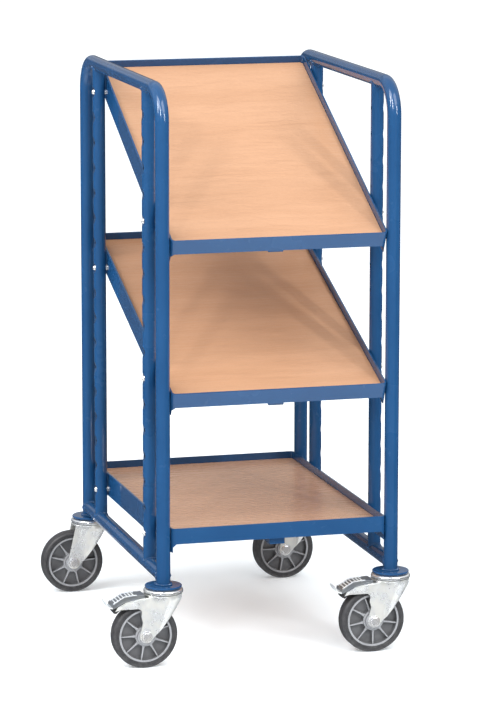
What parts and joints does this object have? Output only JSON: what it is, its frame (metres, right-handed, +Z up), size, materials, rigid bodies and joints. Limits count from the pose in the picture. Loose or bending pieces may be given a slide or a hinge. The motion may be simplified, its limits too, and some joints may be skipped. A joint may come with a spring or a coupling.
{
  "type": "container shelf trolley",
  "caption": "Tall tubular trolley on swivel castors with foot brakes, a level bottom tray and tilted upper trays bolted to perforated uprights, for stacking containers.",
  "frame": {"origin": "on the floor under the middle of the bounding box; the side frames stand evenly about x = 0.039 because the pedals reach out to -X", "axes": "+Z up, -Y the front where the trays are low, +X to the right seen from the front"},
  "size_m": [0.601, 0.685, 1.1],
  "materials": {
    "frame_paint": "glossy mid-blue powder coat",
    "board": "laminate with a pale beech grain",
    "zinc": "bright zinc plating",
    "head": "polished plating",
    "dark_steel": "dull grey plating",
    "core": "mid-grey moulded plastic",
    "tyre": "dark grey solid rubber",
    "brake_pad": "black"
  },
  "bodies": {
    "frame": {"left_hoop": "frame_paint", "right_hoop": "frame_paint", "left_bottom_rail": "frame_paint", "right_bottom_rail": "frame_paint", "left_front_upright": "frame_paint", "left_rear_upright": "frame_paint", "right_front_upright": "frame_paint", "right_rear_upright": "frame_paint", "front_left_plate": "frame_paint", "front_right_plate": "frame_paint", "rear_left_plate": "frame_paint", "rear_right_plate": "frame_paint", "bottom_tray": "frame_paint", "middle_tray": "frame_paint", "top_tray": "frame_paint", "bottom_board": "board", "middle_board": "board", "top_board": "board", "bottom_stiffener": "frame_paint", "middle_stiffener": "frame_paint", "top_stiffener": "frame_paint", "shelf_bolts": "zinc", "shelf_spacers": "zinc", "shelf_nuts": "zinc", "leg_inserts": "zinc", "king_bolts": "dark_steel", "swivel_balls": "dark_steel", "front_left_head": "head", "front_right_head": "head", "rear_left_head": "head", "rear_right_head": "head"},
    "front_left_castor": {"front_left_fork": "zinc", "front_left_axle": "zinc", "front_left_bush": "dark_steel", "front_left_pin": "zinc"},
    "front_left_wheel": {"front_left_core": "core", "front_left_tyre": "tyre"},
    "front_left_brake": {"front_left_pedal": "dark_steel", "front_left_shoe": "brake_pad"},
    "front_right_castor": {"front_right_fork": "zinc", "front_right_axle": "zinc", "front_right_bush": "dark_steel", "front_right_pin": "zinc"},
    "front_right_wheel": {"front_right_core": "core", "front_right_tyre": "tyre"},
    "front_right_brake": {"front_right_pedal": "dark_steel", "front_right_shoe": "brake_pad"},
    "rear_left_castor": {"rear_left_fork": "zinc", "rear_left_axle": "zinc", "rear_left_bush": "dark_steel"},
    "rear_left_wheel": {"rear_left_core": "core", "rear_left_tyre": "tyre"},
    "rear_right_castor": {"rear_right_fork": "zinc", "rear_right_axle": "zinc", "rear_right_bush": "dark_steel"},
    "rear_right_wheel": {"rear_right_core": "core", "rear_right_tyre": "tyre"}
  },
  "joints": [
    {"name": "front_left_swivel", "type": "hinge", "parent": "frame", "child": "front_left_castor", "pos_m": [-0.185, -0.305, 0.132], "axis": [0, 0, 1], "continuous": true},
    {"name": "front_left_roll", "type": "hinge", "parent": "front_left_castor", "child": "front_left_wheel", "pos_m": [-0.223, -0.305, 0.0625], "axis": [0, 1, 0], "continuous": true},
    {"name": "front_left_brake_press", "type": "hinge", "parent": "front_left_castor", "child": "front_left_brake", "pos_m": [-0.234, -0.305, 0.13], "axis": [0, -1, 0], "range_deg": [0, 12]},
    {"name": "front_right_swivel", "type": "hinge", "parent": "frame", "child": "front_right_castor", "pos_m": [0.263, -0.305, 0.132], "axis": [0, 0, 1], "continuous": true},
    {"name": "front_right_roll", "type": "hinge", "parent": "front_right_castor", "child": "front_right_wheel", "pos_m": [0.225, -0.305, 0.0625], "axis": [0, 1, 0], "continuous": true},
    {"name": "front_right_brake_press", "type": "hinge", "parent": "front_right_castor", "child": "front_right_brake", "pos_m": [0.214, -0.305, 0.13], "axis": [0, -1, 0], "range_deg": [0, 12]},
    {"name": "rear_left_swivel", "type": "hinge", "parent": "frame", "child": "rear_left_castor", "pos_m": [-0.185, 0.305, 0.132], "axis": [0, 0, 1], "continuous": true},
    {"name": "rear_left_roll", "type": "hinge", "parent": "rear_left_castor", "child": "rear_left_wheel", "pos_m": [-0.223, 0.305, 0.0625], "axis": [0, 1, 0], "continuous": true},
    {"name": "rear_right_swivel", "type": "hinge", "parent": "frame", "child": "rear_right_castor", "pos_m": [0.263, 0.305, 0.132], "axis": [0, 0, 1], "continuous": true},
    {"name": "rear_right_roll", "type": "hinge", "parent": "rear_right_castor", "child": "rear_right_wheel", "pos_m": [0.225, 0.305, 0.0625], "axis": [0, 1, 0], "continuous": true}
  ]
}
